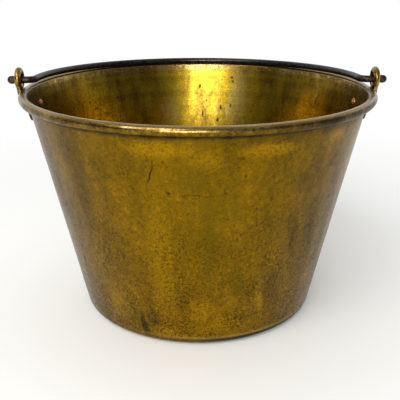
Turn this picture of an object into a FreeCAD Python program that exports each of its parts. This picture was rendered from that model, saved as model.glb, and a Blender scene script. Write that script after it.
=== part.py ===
import FreeCAD, Part
import Sketcher
import math
import os

# Spun brass bucket with a wired rim, riveted brass ears and an iron bail.
# Millimetres and degrees. Z is up, the origin is under the middle of the base,
# the ears stand at -X and +X, and the bail rests on the rim at +Y.

Vector = FreeCAD.Vector
Rotation = FreeCAD.Rotation
Placement = FreeCAD.Placement

sizes = {
    # Sheet brass shell
    "rim_radius": 152.5,
    "rim_height": 195.5,
    "base_radius": 105.4,
    "corner_radius": 7.0,
    "gauge": 1.0,
    "roll_radius": 3.9,
    "curl_gap": 0.3,
    "wire_gap": 0.05,
    # Ears
    "ear_gap": 0.3,
    "seat_gap": 0.06,
    "neck_thickness": 3.4,
    "neck_width": 11.0,
    "plate_thickness": 3.0,
    "plate_height": 17.5,
    "plate_width": 50.0,
    "plate_corner": 7.0,
    "plate_shoulder": 1.0,
    "plate_edge": 0.8,
    "eye_radius": 4.35,
    "eye_bar": 5.4,
    "eye_rise": 6.8,
    # Rivets
    "rivet_margin": 11.0,
    "rivet_drop": 17.0,
    "rivet_radius": 2.0,
    "rivet_head_radius": 3.5,
    "rivet_head_height": 1.8,
    "rivet_tail_radius": 3.1,
    "rivet_tail_height": 1.3,
    # Bail
    "rod_radius": 3.0,
    "bail_gap": 0.3,
    "bail_inset": 12.0,
    "bend_radius": 6.5,
    "rest_angle": 40.0,
    "stub_clearance": 0.8,
    "stub_flare": 2.0,
    "stub_radius": 3.5,
    "stub_length": 7.0,
}

derived = {
    # Centres of the rim roll and of the base corner, and the slope of the wall between them
    "roll_center_radius": "rim_radius - roll_radius",
    "roll_center_height": "rim_height - roll_radius",
    "roll_inner_radius": "roll_radius - gauge",
    "corner_center_radius": "base_radius - corner_radius",
    "wall_run": "roll_center_radius - corner_center_radius",
    "wall_rise": "roll_center_height - corner_radius",
    "wall_length": "sqrt(wall_run ^ 2 + wall_rise ^ 2)",
    "wall_lean": "asin((corner_radius + roll_inner_radius) / wall_length)",
    "wall_angle": "90 deg - atan2(wall_rise; wall_run) - wall_lean",
    "curl_opening": "acos((roll_inner_radius - curl_gap) / roll_radius)",
    "curl_end_angle": "curl_opening - wall_angle - 180 deg",
    "wire_radius": "roll_inner_radius - wire_gap",
    # Ear: plate on the wall under the roll, neck round the roll, eye above it
    "neck_inner_radius": "roll_radius + ear_gap",
    "neck_outer_radius": "neck_inner_radius + neck_thickness",
    "plate_seat": "roll_inner_radius - seat_gap",
    "plate_top": "neck_inner_radius + plate_shoulder",
    "neck_root": "acos((plate_seat - plate_thickness / 2) / neck_outer_radius)",
    "neck_end_angle": "neck_root - wall_angle - 180 deg",
    "eye_plane": "roll_center_radius + neck_inner_radius + neck_thickness / 2",
    "eye_height": "rim_height + eye_rise",
    "eye_ring_radius": "eye_radius + eye_bar / 2",
    "eye_bar_radius": "eye_bar / 2",
    "web_face": "eye_plane - neck_thickness / 2",
    "web_radius": "eye_ring_radius + eye_bar_radius / 2",
    # Rivets: their place on the outside of the wall, and their grip
    "rivet_height": "rim_height - rivet_drop",
    "rivet_spacing": "plate_width - 2 * rivet_margin",
    "wall_top_radius": "roll_center_radius - roll_inner_radius / cos(wall_angle)",
    "rivet_fall": "(roll_center_height - rivet_height) * tan(wall_angle)",
    "rivet_wall_radius": "wall_top_radius - rivet_fall",
    "rivet_azimuth": "asin(rivet_spacing / 2 / rivet_wall_radius)",
    "rivet_hole_radius": "rivet_radius + seat_gap",
    "rivet_bore_length": "4 * (gauge + plate_thickness)",
    "rivet_head_seat": "gauge + seat_gap",
    "rivet_head_top": "rivet_head_seat + rivet_head_height",
    "rivet_tail_seat": "plate_thickness + 2 * seat_gap",
    "rivet_tail_end": "rivet_tail_seat + rivet_tail_height",
    "plate_angle": "2 * asin(plate_width / 2 / (rivet_wall_radius + plate_thickness))",
    # Bail: it hangs low in the eyes and rests on the inner shoulder of the roll
    "hinge_height": "eye_height - (eye_radius - rod_radius - bail_gap)",
    "rest_distance": "roll_radius + rod_radius + bail_gap",
    "rest_reach": "roll_center_radius - rest_distance * sin(rest_angle * 1 deg)",
    "rest_drop": "hinge_height - roll_center_height - rest_distance * cos(rest_angle * 1 deg)",
    "rest_tilt": "atan2(rest_drop; rest_reach)",
    "apex_reach": "sqrt(rest_reach ^ 2 + rest_drop ^ 2)",
    "bail_radius": "eye_plane - bail_inset",
    "bail_center": "apex_reach - bail_radius",
    "bend_rise": "bend_radius - bail_center",
    "bend_center": "sqrt((bail_radius + bend_radius) ^ 2 - bend_rise ^ 2)",
    "stub_start": "eye_plane + eye_bar_radius + stub_clearance",
    "stub_dome": "stub_start + stub_length - stub_radius",
}

doc = FreeCAD.newDocument("brass_bucket")
sheet = doc.addObject("Spreadsheet::Sheet", "sizes")

# A sketch's own numbers for its axes and for the points of a line or arc
horizontal_axis, vertical_axis = range(-1, -3, -1)
start, end, center = range(1, 4)
origin = (horizontal_axis, start)


def fill_sheet():
    cells = {name: str(number) for name, number in sizes.items()}
    cells.update({name: "=" + formula for name, formula in derived.items()})
    for row, (name, content) in enumerate(cells.items(), 1):
        sheet.set(f"A{row}", name)
        sheet.set(f"B{row}", content)
        sheet.setAlias(f"B{row}", name)
    doc.recompute()


def value(name):
    cell = sheet.get(name)
    return getattr(cell, "Value", cell)


def radians(name):
    return math.radians(value(name))


# Sketch helpers

def new_sketch(body, name, role):
    plane = next(item for item in body.Origin.OriginFeatures if item.Role == role)
    sketch = body.newObject("Sketcher::SketchObject", name)
    sketch.AttachmentSupport = (plane, [""])
    sketch.MapMode = "FlatFace"
    return sketch


def line(sketch, first, second):
    return sketch.addGeometry(Part.LineSegment(Vector(*first, 0), Vector(*second, 0)), False)


def arc(sketch, middle, radius, first_angle, last_angle):
    circle = Part.Circle(Vector(*middle, 0), Vector(0, 0, 1), radius)
    return sketch.addGeometry(Part.ArcOfCircle(circle, first_angle, last_angle), False)


def tie(sketch, kind, *places):
    sketch.addConstraint(Sketcher.Constraint(kind, *places))


def bind(sketch, kind, places, name):
    number = radians(name) if kind == "Angle" else value(name)
    index = sketch.addConstraint(Sketcher.Constraint(kind, *places, number))
    sketch.setExpression(f"Constraints[{index}]", "sizes." + name)


def place_at(sketch, geometry, point, across, up):
    bind(sketch, "DistanceX", (*origin, geometry, point), across)
    bind(sketch, "DistanceY", (*origin, geometry, point), up)


def polar(middle, radius, angle):
    return (middle[0] + radius * math.cos(angle), middle[1] + radius * math.sin(angle))


# Feature helpers

def revolve(body, sketch, name, axis):
    feature = body.newObject("PartDesign::Revolution", name)
    feature.Profile = sketch
    feature.ReferenceAxis = axis
    feature.Angle = 360
    return feature


def symmetric(body, kind, sketch, name):
    feature = body.newObject("PartDesign::" + kind, name)
    feature.Profile = sketch
    feature.SideType = "Symmetric"
    return feature


def rivet_frame(azimuth):
    # Stands on the outside of the wall, with local Z through the wall to the inside
    slope = radians("wall_angle")
    spot = Vector(value("rivet_wall_radius"), 0, value("rivet_height"))
    inward = Vector(-math.cos(slope), 0, math.sin(slope))
    across = Vector(0, 1, 0)
    turn = Placement(Vector(), Rotation(Vector(0, 0, 1), azimuth))
    return turn * Placement(spot, Rotation(across.cross(inward), across, inward, "ZXY"))


def bore_rivet_holes(body, azimuths):
    for number, azimuth in enumerate(azimuths, 1):
        sketch = new_sketch(body, f"rivet_hole_{number}", "XY_Plane")
        sketch.AttachmentOffset = rivet_frame(azimuth)
        circle = Part.Circle(Vector(), Vector(0, 0, 1), value("rivet_hole_radius"))
        hole = sketch.addGeometry(circle, False)
        tie(sketch, "Coincident", hole, center, *origin)
        bind(sketch, "Radius", (hole,), "rivet_hole_radius")
        bore = symmetric(body, "Pocket", sketch, f"rivet_bore_{number}")
        bore.setExpression("Length", "sizes.rivet_bore_length")


# Sub-parts

def make_shell():
    # One sheet: flat base, rounded corner, tapered wall, rim curled outward round the wire
    body = doc.addObject("PartDesign::Body", "bucket_shell")
    sketch = new_sketch(body, "shell_profile", "XZ_Plane")
    gauge = value("gauge")
    corner_radius = value("corner_radius")
    roll_radius = value("roll_radius")
    roll_inner = value("roll_inner_radius")
    corner = (value("corner_center_radius"), corner_radius)
    roll = (value("roll_center_radius"), value("roll_center_height"))
    down = -math.pi / 2
    corner_end = -radians("wall_angle")
    curl_start = math.pi + corner_end
    curl_end = radians("curl_end_angle")
    inner_corner = corner_radius - gauge

    base_under = line(sketch, (0, 0), (corner[0], 0))
    corner_outside = arc(sketch, corner, corner_radius, down, corner_end)
    wall_outside = line(sketch, polar(corner, corner_radius, corner_end), polar(roll, roll_inner, curl_start))
    curl_inside = arc(sketch, roll, roll_inner, curl_end, curl_start)
    curl_edge = line(sketch, polar(roll, roll_inner, curl_end), polar(roll, roll_radius, curl_end))
    curl_outside = arc(sketch, roll, roll_radius, curl_end, curl_start)
    wall_inside = line(sketch, polar(roll, roll_radius, curl_start), polar(corner, inner_corner, corner_end))
    corner_inside = arc(sketch, corner, inner_corner, down, corner_end)
    base_over = line(sketch, (corner[0], gauge), (0, gauge))
    middle = line(sketch, (0, gauge), (0, 0))

    tie(sketch, "Coincident", base_under, start, *origin)
    tie(sketch, "Tangent", base_under, end, corner_outside, start)
    tie(sketch, "Tangent", corner_outside, end, wall_outside, start)
    tie(sketch, "Tangent", wall_outside, end, curl_inside, end)
    tie(sketch, "Coincident", curl_inside, start, curl_edge, start)
    tie(sketch, "Coincident", curl_edge, end, curl_outside, start)
    tie(sketch, "Tangent", curl_outside, end, wall_inside, start)
    tie(sketch, "Tangent", wall_inside, end, corner_inside, end)
    tie(sketch, "Tangent", corner_inside, start, base_over, start)
    tie(sketch, "Coincident", base_over, end, middle, start)
    tie(sketch, "Coincident", middle, end, base_under, start)
    tie(sketch, "Horizontal", base_under)
    tie(sketch, "Horizontal", base_over)
    tie(sketch, "Vertical", middle)
    tie(sketch, "Coincident", corner_outside, center, corner_inside, center)
    tie(sketch, "Coincident", curl_outside, center, curl_inside, center)
    tie(sketch, "PointOnObject", curl_outside, center, curl_edge)
    bind(sketch, "Radius", (corner_outside,), "corner_radius")
    bind(sketch, "DistanceX", (*origin, corner_outside, center), "corner_center_radius")
    bind(sketch, "Radius", (curl_outside,), "roll_radius")
    bind(sketch, "Radius", (curl_inside,), "roll_inner_radius")
    place_at(sketch, curl_outside, center, "roll_center_radius", "roll_center_height")
    bind(sketch, "DistanceY", (middle, end, middle, start), "gauge")
    bind(sketch, "Angle", (curl_edge,), "curl_end_angle")

    revolve(body, sketch, "spun_sheet", (sketch, ["V_Axis"]))
    azimuth = value("rivet_azimuth")
    bore_rivet_holes(body, (-azimuth, azimuth, 180 - azimuth, 180 + azimuth))
    return body


def make_rim_wire():
    wire = doc.addObject("Part::Torus", "rim_wire")
    wire.setExpression("Radius1", "sizes.roll_center_radius")
    wire.setExpression("Radius2", "sizes.wire_radius")
    wire.setExpression("Placement.Base.z", "sizes.roll_center_height")
    return wire


def add_ear_plate(body):
    # A rounded plate that follows the wall, drawn from the centre of the roll down the wall
    sketch = new_sketch(body, "plate_section", "XZ_Plane")
    sketch.AttachmentOffset = Placement(Vector(), Rotation(Vector(0, 0, 1), -value("wall_angle")))
    sketch.setExpression("AttachmentOffset.Base.x", "sizes.roll_center_radius")
    sketch.setExpression("AttachmentOffset.Base.y", "sizes.roll_center_height")
    sketch.setExpression("AttachmentOffset.Rotation.Angle", "-sizes.wall_angle")
    seat = -value("plate_seat")
    face = seat + value("plate_thickness")
    top = -value("plate_top")
    bottom = top - value("plate_height")
    wall_side = line(sketch, (seat, top), (seat, bottom))
    lower_edge = line(sketch, (seat, bottom), (face, bottom))
    outer_side = line(sketch, (face, bottom), (face, top))
    upper_edge = line(sketch, (face, top), (seat, top))
    outline = (wall_side, lower_edge, outer_side, upper_edge)
    for this, following in zip(outline, outline[1:] + outline[:1]):
        tie(sketch, "Coincident", this, end, following, start)
    for edge in (wall_side, outer_side):
        tie(sketch, "Vertical", edge)
    for edge in (lower_edge, upper_edge):
        tie(sketch, "Horizontal", edge)
    bind(sketch, "DistanceX", (wall_side, start, *origin), "plate_seat")
    bind(sketch, "DistanceY", (wall_side, start, *origin), "plate_top")
    bind(sketch, "DistanceY", (wall_side, end, wall_side, start), "plate_height")
    bind(sketch, "DistanceX", (lower_edge, start, lower_edge, end), "plate_thickness")

    axis = next(item for item in body.Origin.OriginFeatures if item.Role == "Z_Axis")
    plate = revolve(body, sketch, "plate", (axis, [""]))
    plate.setExpression("Angle", "sizes.plate_angle")
    plate.Midplane = True
    doc.recompute()
    corners = [
        f"Edge{number}" for number, edge in enumerate(plate.Shape.Edges, 1)
        if isinstance(edge.Curve, Part.Line) and abs(edge.Length - value("plate_thickness")) < 0.01
    ]
    rounded = body.newObject("PartDesign::Fillet", "plate_corners")
    rounded.Base = (plate, corners)
    rounded.setExpression("Radius", "sizes.plate_corner")
    doc.recompute()
    broad = sorted(range(len(rounded.Shape.Faces)), key=lambda number: rounded.Shape.Faces[number].Area)[-2:]
    front = max(broad, key=lambda number: rounded.Shape.Faces[number].CenterOfMass.x)
    softened = body.newObject("PartDesign::Fillet", "plate_edges")
    softened.Base = (rounded, [f"Face{front + 1}"])
    softened.setExpression("Radius", "sizes.plate_edge")


def add_ear_neck(body):
    # A strap bent round the outside of the roll, from the plate up to the level of the roll's centre
    sketch = new_sketch(body, "neck_section", "XZ_Plane")
    roll = (value("roll_center_radius"), value("roll_center_height"))
    inner_radius = value("neck_inner_radius")
    outer_radius = value("neck_outer_radius")
    root = radians("neck_end_angle")
    inside = arc(sketch, roll, inner_radius, root, 0)
    outside = arc(sketch, roll, outer_radius, root, 0)
    root_edge = line(sketch, polar(roll, inner_radius, root), polar(roll, outer_radius, root))
    top_edge = line(sketch, polar(roll, inner_radius, 0), polar(roll, outer_radius, 0))
    tie(sketch, "Coincident", inside, center, outside, center)
    tie(sketch, "Coincident", inside, start, root_edge, start)
    tie(sketch, "Coincident", outside, start, root_edge, end)
    tie(sketch, "Coincident", inside, end, top_edge, start)
    tie(sketch, "Coincident", outside, end, top_edge, end)
    tie(sketch, "PointOnObject", inside, center, root_edge)
    tie(sketch, "PointOnObject", inside, center, top_edge)
    tie(sketch, "Horizontal", top_edge)
    place_at(sketch, inside, center, "roll_center_radius", "roll_center_height")
    bind(sketch, "Radius", (inside,), "neck_inner_radius")
    bind(sketch, "Radius", (outside,), "neck_outer_radius")
    bind(sketch, "Angle", (root_edge,), "neck_end_angle")
    neck = symmetric(body, "Pad", sketch, "neck")
    neck.setExpression("Length", "sizes.neck_width")


def add_ear_eye(body):
    # A teardrop: a web with sides tangent to the eye, and a round bar bent into a ring
    eye = (0, value("eye_height"))
    web_radius = value("web_radius")
    foot = (value("neck_width") / 2, value("roll_center_height"))
    reach = math.dist(eye, foot)
    touch = math.atan2(foot[1] - eye[1], foot[0]) + math.acos(web_radius / reach)
    sketch = new_sketch(body, "web_outline", "YZ_Plane")
    sketch.setExpression("AttachmentOffset.Base.z", "sizes.web_face")
    crown = arc(sketch, eye, web_radius, touch, math.pi - touch)
    far_side = line(sketch, polar(eye, web_radius, math.pi - touch), (-foot[0], foot[1]))
    bottom = line(sketch, (-foot[0], foot[1]), foot)
    near_side = line(sketch, foot, polar(eye, web_radius, touch))
    tie(sketch, "Tangent", crown, end, far_side, start)
    tie(sketch, "Coincident", far_side, end, bottom, start)
    tie(sketch, "Coincident", bottom, end, near_side, start)
    tie(sketch, "Tangent", near_side, end, crown, start)
    tie(sketch, "PointOnObject", crown, center, vertical_axis)
    tie(sketch, "Symmetric", bottom, start, bottom, end, vertical_axis)
    bind(sketch, "DistanceY", (*origin, crown, center), "eye_height")
    bind(sketch, "Radius", (crown,), "web_radius")
    bind(sketch, "DistanceX", (bottom, start, bottom, end), "neck_width")
    bind(sketch, "DistanceY", (*origin, bottom, end), "roll_center_height")
    web = body.newObject("PartDesign::Pad", "web")
    web.Profile = sketch
    web.setExpression("Length", "sizes.neck_thickness")

    opening = new_sketch(body, "eye_outline", "YZ_Plane")
    circle = Part.Circle(Vector(*eye, 0), Vector(0, 0, 1), value("eye_ring_radius"))
    rim = opening.addGeometry(circle, False)
    tie(opening, "PointOnObject", rim, center, vertical_axis)
    bind(opening, "DistanceY", (*origin, rim, center), "eye_height")
    bind(opening, "Radius", (rim,), "eye_ring_radius")
    hole = symmetric(body, "Pocket", opening, "eye_hole")
    hole.Type = "ThroughAll"

    section = new_sketch(body, "eye_bar_section", "XZ_Plane")
    section.setExpression("AttachmentOffset.Base.x", "sizes.eye_plane")
    section.setExpression("AttachmentOffset.Base.y", "sizes.eye_height")
    bar_circle = Part.Circle(Vector(0, value("eye_ring_radius"), 0), Vector(0, 0, 1), value("eye_bar_radius"))
    bar = section.addGeometry(bar_circle, False)
    tie(section, "PointOnObject", bar, center, vertical_axis)
    bind(section, "DistanceY", (*origin, bar, center), "eye_ring_radius")
    bind(section, "Radius", (bar,), "eye_bar_radius")
    revolve(body, section, "eye_ring", (section, ["H_Axis"]))


def make_ear(name, turn):
    body = doc.addObject("PartDesign::Body", name)
    add_ear_plate(body)
    add_ear_neck(body)
    add_ear_eye(body)
    bore_rivet_holes(body, (-value("rivet_azimuth"), value("rivet_azimuth")))
    body.Placement = Placement(Vector(), Rotation(Vector(0, 0, 1), turn))
    return body


def add_dome(sketch, radius, seat, top):
    # Arc of a cap from its edge at the seat to its crown on the axis
    rise = top - seat
    ball = (radius ** 2 + rise ** 2) / (2 * rise)
    middle = (0, top - ball)
    edge = math.atan2(seat - middle[1], radius)
    crown = math.copysign(math.pi / 2, rise)
    return arc(sketch, middle, abs(ball), min(edge, crown), max(edge, crown))


def make_rivet(name, azimuth):
    # Domed head inside the bucket, shank through wall and ear plate, hammered tail outside
    body = doc.addObject("PartDesign::Body", name)
    sketch = new_sketch(body, "rivet_profile", "XZ_Plane")
    shank = value("rivet_radius")
    head_radius = value("rivet_head_radius")
    tail_radius = value("rivet_tail_radius")
    head_seat = value("rivet_head_seat")
    head_top = value("rivet_head_top")
    tail_seat = -value("rivet_tail_seat")
    tail_end = -value("rivet_tail_end")
    head = add_dome(sketch, head_radius, head_seat, head_top)
    head_under = line(sketch, (head_radius, head_seat), (shank, head_seat))
    side = line(sketch, (shank, head_seat), (shank, tail_seat))
    tail_under = line(sketch, (shank, tail_seat), (tail_radius, tail_seat))
    tail = add_dome(sketch, tail_radius, tail_seat, tail_end)
    middle = line(sketch, (0, tail_end), (0, head_top))
    tie(sketch, "Coincident", head, start, head_under, start)
    tie(sketch, "Coincident", head_under, end, side, start)
    tie(sketch, "Coincident", side, end, tail_under, start)
    tie(sketch, "Coincident", tail_under, end, tail, end)
    tie(sketch, "Coincident", tail, start, middle, start)
    tie(sketch, "Coincident", middle, end, head, end)
    tie(sketch, "PointOnObject", head, center, vertical_axis)
    tie(sketch, "PointOnObject", tail, center, vertical_axis)
    tie(sketch, "PointOnObject", middle, start, vertical_axis)
    tie(sketch, "PointOnObject", middle, end, vertical_axis)
    tie(sketch, "Horizontal", head_under)
    tie(sketch, "Vertical", side)
    tie(sketch, "Horizontal", tail_under)
    place_at(sketch, head, start, "rivet_head_radius", "rivet_head_seat")
    bind(sketch, "DistanceY", (*origin, middle, end), "rivet_head_top")
    bind(sketch, "DistanceX", (*origin, side, start), "rivet_radius")
    bind(sketch, "DistanceX", (*origin, tail, end), "rivet_tail_radius")
    bind(sketch, "DistanceY", (tail, end, *origin), "rivet_tail_seat")
    bind(sketch, "DistanceY", (middle, start, *origin), "rivet_tail_end")
    revolve(body, sketch, "rivet", (sketch, ["V_Axis"]))
    body.Placement = rivet_frame(azimuth)
    return body


def add_bail_rod(body):
    # Straight pivots through the eyes, a tight bend inside each eye, and a half ring between
    spine = new_sketch(body, "bail_line", "XY_Plane")
    bend_radius = value("bend_radius")
    bend = value("bend_center")
    ring = (0, value("bail_center"))
    lift = math.atan2(value("bend_rise"), bend)
    stub = value("stub_start")
    down = -math.pi / 2
    left_pivot = line(spine, (-stub, 0), (-bend, 0))
    left_bend = arc(spine, (-bend, bend_radius), bend_radius, down, -lift)
    half_ring = arc(spine, ring, value("bail_radius"), lift, math.pi - lift)
    right_bend = arc(spine, (bend, bend_radius), bend_radius, math.pi + lift, down + 2 * math.pi)
    right_pivot = line(spine, (bend, 0), (stub, 0))
    tie(spine, "Tangent", left_pivot, end, left_bend, start)
    tie(spine, "Tangent", left_bend, end, half_ring, end)
    tie(spine, "Tangent", half_ring, start, right_bend, start)
    tie(spine, "Tangent", right_bend, end, right_pivot, start)
    tie(spine, "PointOnObject", left_pivot, start, horizontal_axis)
    tie(spine, "PointOnObject", right_pivot, end, horizontal_axis)
    tie(spine, "Horizontal", left_pivot)
    tie(spine, "Horizontal", right_pivot)
    tie(spine, "PointOnObject", half_ring, center, vertical_axis)
    tie(spine, "Equal", left_bend, right_bend)
    bind(spine, "Radius", (left_bend,), "bend_radius")
    bind(spine, "Radius", (half_ring,), "bail_radius")
    bind(spine, "DistanceY", (*origin, half_ring, center), "bail_center")
    bind(spine, "DistanceX", (left_pivot, start, *origin), "stub_start")
    bind(spine, "DistanceX", (*origin, right_pivot, end), "stub_start")

    section = new_sketch(body, "rod_section", "YZ_Plane")
    section.setExpression("AttachmentOffset.Base.z", "-sizes.stub_start")
    rod = section.addGeometry(Part.Circle(Vector(), Vector(0, 0, 1), value("rod_radius")), False)
    tie(section, "Coincident", rod, center, *origin)
    bind(section, "Radius", (rod,), "rod_radius")
    doc.recompute()
    pipe = body.newObject("PartDesign::AdditivePipe", "bail_rod")
    pipe.Profile = section
    pipe.Spine = (spine, [f"Edge{number}" for number in range(1, len(spine.Shape.Edges) + 1)])


def add_bail_stubs(body):
    # The rod's ends are hammered a little thicker outside the eyes, and rounded
    sketch = new_sketch(body, "stub_profile", "XY_Plane")
    begin = value("stub_start")
    full = begin + value("stub_flare")
    dome = value("stub_dome")
    rod_radius = value("rod_radius")
    stub_radius = value("stub_radius")
    foot = line(sketch, (begin, 0), (begin, rod_radius))
    flare = line(sketch, (begin, rod_radius), (full, stub_radius))
    side = line(sketch, (full, stub_radius), (dome, stub_radius))
    cap = arc(sketch, (dome, 0), stub_radius, 0, math.pi / 2)
    middle = line(sketch, (dome + stub_radius, 0), (begin, 0))
    tie(sketch, "Coincident", foot, end, flare, start)
    tie(sketch, "Coincident", flare, end, side, start)
    tie(sketch, "Tangent", side, end, cap, end)
    tie(sketch, "Coincident", cap, start, middle, start)
    tie(sketch, "Coincident", middle, end, foot, start)
    tie(sketch, "PointOnObject", middle, start, horizontal_axis)
    tie(sketch, "PointOnObject", middle, end, horizontal_axis)
    tie(sketch, "PointOnObject", cap, center, horizontal_axis)
    tie(sketch, "Vertical", foot)
    tie(sketch, "Horizontal", side)
    bind(sketch, "DistanceX", (*origin, foot, start), "stub_start")
    bind(sketch, "DistanceY", (foot, start, foot, end), "rod_radius")
    bind(sketch, "DistanceX", (flare, start, flare, end), "stub_flare")
    bind(sketch, "DistanceX", (*origin, cap, center), "stub_dome")
    bind(sketch, "Radius", (cap,), "stub_radius")
    stub = revolve(body, sketch, "right_stub", (sketch, ["H_Axis"]))
    doc.recompute()
    mirrored = body.newObject("PartDesign::Mirrored", "left_stub")
    mirrored.Originals = [stub]
    plane = next(item for item in body.Origin.OriginFeatures if item.Role == "YZ_Plane")
    mirrored.MirrorPlane = (plane, [""])
    body.Tip = mirrored


def make_bail():
    # Folded back, tilted down a little, and lying on the inner shoulder of the rim
    body = doc.addObject("PartDesign::Body", "bail_handle")
    add_bail_rod(body)
    add_bail_stubs(body)
    body.Placement = Placement(Vector(), Rotation(Vector(1, 0, 0), -value("rest_tilt")))
    body.setExpression("Placement.Base.z", "sizes.hinge_height")
    body.setExpression("Placement.Rotation.Angle", "-sizes.rest_tilt")
    return body


def make_nodes():
    azimuth = value("rivet_azimuth")
    nodes = [make_shell(), make_rim_wire(), make_ear("right_ear", 0), make_ear("left_ear", 180)]
    nodes.append(make_rivet("right_front_rivet", -azimuth))
    nodes.append(make_rivet("right_rear_rivet", azimuth))
    nodes.append(make_rivet("left_rear_rivet", 180 - azimuth))
    nodes.append(make_rivet("left_front_rivet", 180 + azimuth))
    nodes.append(make_bail())
    return nodes


def check(nodes):
    doc.recompute()
    for item in doc.Objects:
        faults = {"Invalid", "Error"} & set(item.State)
        if faults:
            raise RuntimeError(f"{item.Label}: {faults}")
    for node in nodes:
        if node.Shape.isNull() or not node.Shape.isValid() or len(node.Shape.Solids) != 1:
            raise RuntimeError(f"{node.Label}: not one valid solid")


def write(nodes):
    os.makedirs("parts", exist_ok=True)
    for node in nodes:
        node.Shape.exportStep(f"parts/{node.Label}.step")
        box = node.Shape.BoundBox
        print(f"{node.Label}: {box.XLength:.1f} x {box.YLength:.1f} x {box.ZLength:.1f} mm")


fill_sheet()
nodes = make_nodes()
check(nodes)
write(nodes)
print(f"bail hinge height {value('hinge_height'):.3f}, rest tilt {value('rest_tilt'):.4f} degrees")
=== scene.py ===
import math

import bmesh
import bpy
from mathutils import Matrix, Vector


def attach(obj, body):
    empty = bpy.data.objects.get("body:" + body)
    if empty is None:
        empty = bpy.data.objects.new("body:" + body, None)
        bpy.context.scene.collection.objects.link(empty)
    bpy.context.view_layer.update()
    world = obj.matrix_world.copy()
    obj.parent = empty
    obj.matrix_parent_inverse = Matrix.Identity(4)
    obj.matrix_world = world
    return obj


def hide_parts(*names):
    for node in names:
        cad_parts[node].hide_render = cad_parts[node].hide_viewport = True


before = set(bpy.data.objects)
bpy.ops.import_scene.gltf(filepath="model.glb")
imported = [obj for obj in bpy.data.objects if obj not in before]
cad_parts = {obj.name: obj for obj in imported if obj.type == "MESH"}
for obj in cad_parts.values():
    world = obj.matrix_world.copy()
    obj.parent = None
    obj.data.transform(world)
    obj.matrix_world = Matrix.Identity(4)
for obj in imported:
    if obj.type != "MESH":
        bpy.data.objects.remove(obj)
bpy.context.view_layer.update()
scene = bpy.context.scene
mm = 0.001
print("frame loaded:", sorted(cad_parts))


def linear(hexColour):
    channels = [int(hexColour[i:i + 2], 16) / 255 for i in (1, 3, 5)]
    return tuple(c / 12.92 if c < 0.04045 else ((c + 0.055) / 1.055) ** 2.4 for c in channels) + (1.0,)


def addNode(tree, kind, inputs=None, **settings):
    node = tree.nodes.new(kind)
    for name, setting in settings.items():
        setattr(node, name, setting)
    for key, given in (inputs or {}).items():
        if isinstance(given, bpy.types.NodeSocket):
            tree.links.new(given, node.inputs[key])
        else:
            node.inputs[key].default_value = given
    return node


def addMath(tree, operation, *terms):
    return addNode(tree, "ShaderNodeMath", dict(enumerate(terms)), operation=operation).outputs[0]


def addVector(tree, operation, *terms):
    node = addNode(tree, "ShaderNodeVectorMath", dict(enumerate(terms)), operation=operation)
    return node.outputs["Value" if operation == "LENGTH" else "Vector"]


def addScaled(tree, vector, factor):
    return addNode(tree, "ShaderNodeVectorMath", {0: vector, "Scale": factor}, operation="SCALE").outputs[0]


def addRange(tree, value, span, soft=False):
    # A span is two values and the levels that they get
    low, high, lowest, highest = span
    return addNode(tree, "ShaderNodeMapRange", {
        "Value": value, "From Min": low, "From Max": high, "To Min": lowest, "To Max": highest},
        interpolation_type="SMOOTHSTEP" if soft else "LINEAR").outputs[0]


def addBand(tree, distance, band, soft=False):
    # A band is a span whose two values are in mm
    low, high, lowest, highest = band
    return addRange(tree, distance, (low * mm, high * mm, lowest, highest), soft)


def addNoise(tree, place, sizeMm, detail, roughness=0.5):
    return addNode(tree, "ShaderNodeTexNoise", {
        "Vector": place, "Scale": 1000 / sizeMm, "Detail": detail, "Roughness": roughness}).outputs["Fac"]


def addRings(tree, course, sizeMm, detail):
    return addNode(tree, "ShaderNodeTexNoise", {
        "W": course, "Scale": 1000 / sizeMm, "Detail": detail}, noise_dimensions="1D").outputs["Fac"]


def mixLevels(tree, share, first, second):
    return addNode(tree, "ShaderNodeMix", {0: share, 2: first, 3: second}, data_type="FLOAT").outputs[0]


def mixColours(tree, share, first, second):
    return addNode(tree, "ShaderNodeMix", {0: share, 6: first, 7: second}, data_type="RGBA").outputs[2]


def addRamp(tree, value, stops):
    node = addNode(tree, "ShaderNodeValToRGB", {0: value})
    ramp = node.color_ramp
    while len(ramp.elements) < len(stops):
        ramp.elements.new(0.5)
    for element, (place, colour) in zip(ramp.elements, stops):
        element.position = place
        element.color = linear(colour)
    return node.outputs[0]


def addBump(tree, shader, height, strength, depthMm):
    bump = addNode(tree, "ShaderNodeBump", {"Height": height, "Strength": strength, "Distance": depthMm * mm})
    tree.links.new(bump.outputs[0], shader.inputs["Normal"])


def newMaterial(name, surface):
    material = bpy.data.materials.new(name)
    material.use_nodes = True
    tree = material.node_tree
    shader = tree.nodes["Principled BSDF"]
    for socket, level in surface.items():
        shader.inputs[socket].default_value = level
    place = addNode(tree, "ShaderNodeTexCoord").outputs["Object"]
    return material, tree, shader, place


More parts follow.
